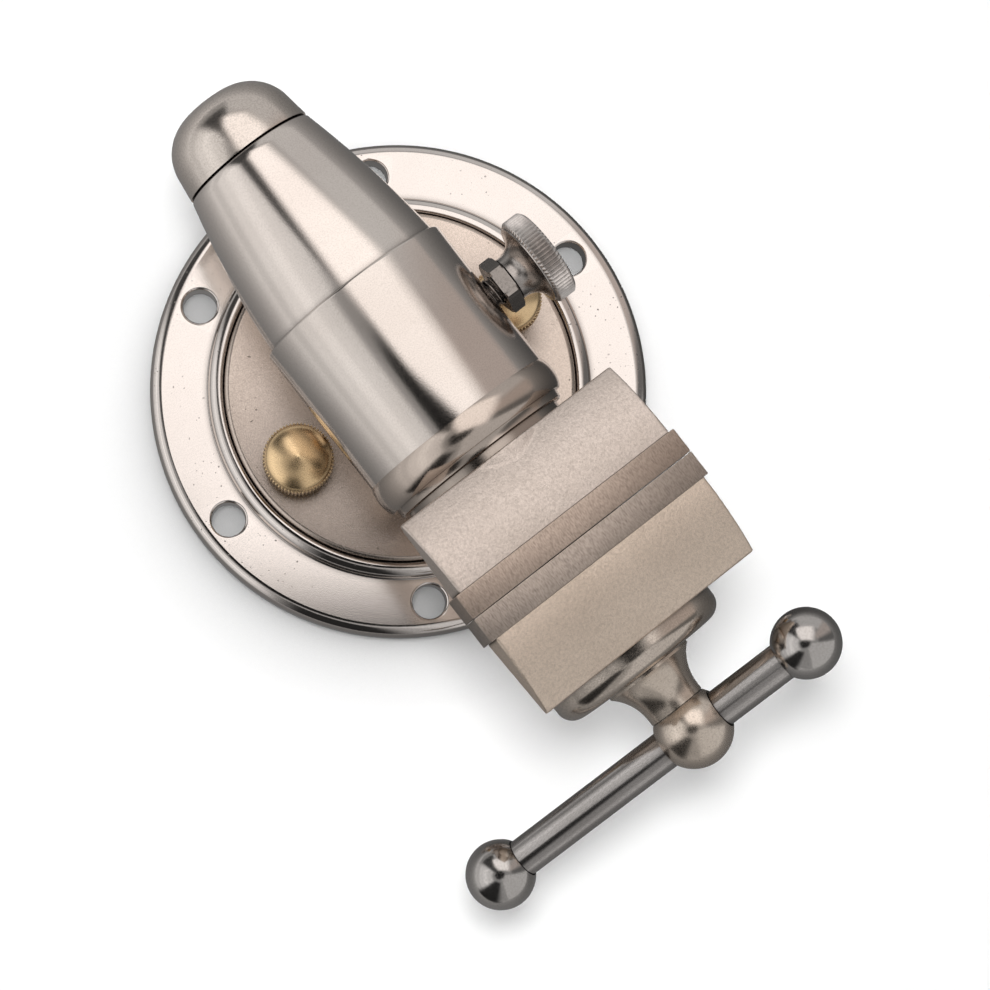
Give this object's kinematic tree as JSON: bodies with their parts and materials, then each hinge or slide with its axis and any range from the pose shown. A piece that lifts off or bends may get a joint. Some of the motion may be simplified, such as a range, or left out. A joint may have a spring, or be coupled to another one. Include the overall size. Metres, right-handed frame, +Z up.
{
  "type": "rotatable bench vise",
  "caption": "Small bench vise with a swivelling round base, a head that turns about its spindle axis, ribbed thumb screws and a sliding bar handle.",
  "frame": {"origin": "middle of the base's underside, on the swivel axis", "axes": "+Z up; the jaws point towards -Y and the tail towards +Y; the head lock screw stands on +X"},
  "size_m": [0.1016, 0.1575, 0.0706],
  "materials": {
    "satin_nickel": "satin",
    "polished_nickel": "polished",
    "cast_nickel": "fine sand texture under plating",
    "ground_steel": "brushed across",
    "bright_steel": "polished",
    "dark_steel": "turned",
    "hidden_steel": "as machined",
    "brass": "turned"
  },
  "bodies": {
    "base": {"base_ring": "polished_nickel"},
    "swivel": {"turntable": "satin_nickel", "thumb_washers": "brass", "bearing_barrel": "satin_nickel", "pedestal_bolt": "hidden_steel", "bolt_washer": "hidden_steel", "locating_pins": "hidden_steel"},
    "clamp": {"clamp_ring": "hidden_steel"},
    "left_thumb_screw": {"thumb_screw_left": "brass"},
    "right_thumb_screw": {"thumb_screw_right": "brass"},
    "pad": {"lock_pad": "brass"},
    "lock": {"lock_screw": "dark_steel", "jam_nut": "dark_steel"},
    "head": {"fixed_jaw": "cast_nickel", "fixed_plate": "ground_steel", "fixed_plate_screws": "hidden_steel", "guide_screw": "hidden_steel", "thrust_washer": "polished_nickel", "tail_cone": "satin_nickel", "nose_cap": "satin_nickel", "lead_nut": "brass"},
    "moving": {"moving_jaw": "cast_nickel", "slide_tube": "bright_steel", "moving_plate": "ground_steel", "moving_plate_screws": "hidden_steel", "keeper_washer": "brass"},
    "screw": {"spindle": "polished_nickel", "spindle_keeper": "hidden_steel", "keeper_pin": "hidden_steel"},
    "handle": {"handle_bar": "bright_steel", "handle_balls": "bright_steel"}
  },
  "joints": [
    {"name": "base_swivel", "type": "hinge", "parent": "base", "child": "swivel", "pos_m": [0, 0, 0], "axis": [0, 0, 1], "continuous": true},
    {"name": "clamp_lift", "type": "slide", "parent": "swivel", "child": "clamp", "axis": [0, 0, 1], "range_m": [-0.0008, 0.00025]},
    {"name": "left_thumb_turn", "type": "hinge", "parent": "swivel", "child": "left_thumb_screw", "pos_m": [-0.0259, 0, 0], "axis": [0, 0, 1], "range_deg": [-113, 361]},
    {"name": "right_thumb_turn", "type": "hinge", "parent": "swivel", "child": "right_thumb_screw", "pos_m": [0.0259, 0, 0], "axis": [0, 0, 1], "range_deg": [-113, 361]},
    {"name": "pad_slide", "type": "slide", "parent": "swivel", "child": "pad", "axis": [1, 0, 0], "range_m": [0, 0.0008]},
    {"name": "lock_turn", "type": "hinge", "parent": "pad", "child": "lock", "pos_m": [0, 0.0008, 0.044], "axis": [1, 0, 0], "range_deg": [0, 289]},
    {"name": "head_roll", "type": "hinge", "parent": "swivel", "child": "head", "pos_m": [0, 0, 0.044], "axis": [0, -1, 0], "continuous": true},
    {"name": "jaw_slide", "type": "slide", "parent": "head", "child": "moving", "axis": [0, -1, 0], "range_m": [0, 0.036]},
    {"name": "spindle_turn", "type": "hinge", "parent": "moving", "child": "screw", "pos_m": [0, -0.0733, 0.044], "axis": [0, -1, 0], "range_deg": [0, 4321]},
    {"name": "handle_slide", "type": "slide", "parent": "screw", "child": "handle", "axis": [0.9421, 0, 0.3355], "range_m": [-0.0124, 0.033]}
  ],
  "couplings": [
    {"joint": "left_thumb_turn", "follows": "clamp_lift", "rad_per_m": -7854},
    {"joint": "right_thumb_turn", "follows": "clamp_lift", "rad_per_m": -7854},
    {"joint": "lock_turn", "follows": "pad_slide", "rad_per_m": 6283.2},
    {"joint": "spindle_turn", "follows": "jaw_slide", "rad_per_m": 2094.4}
  ]
}
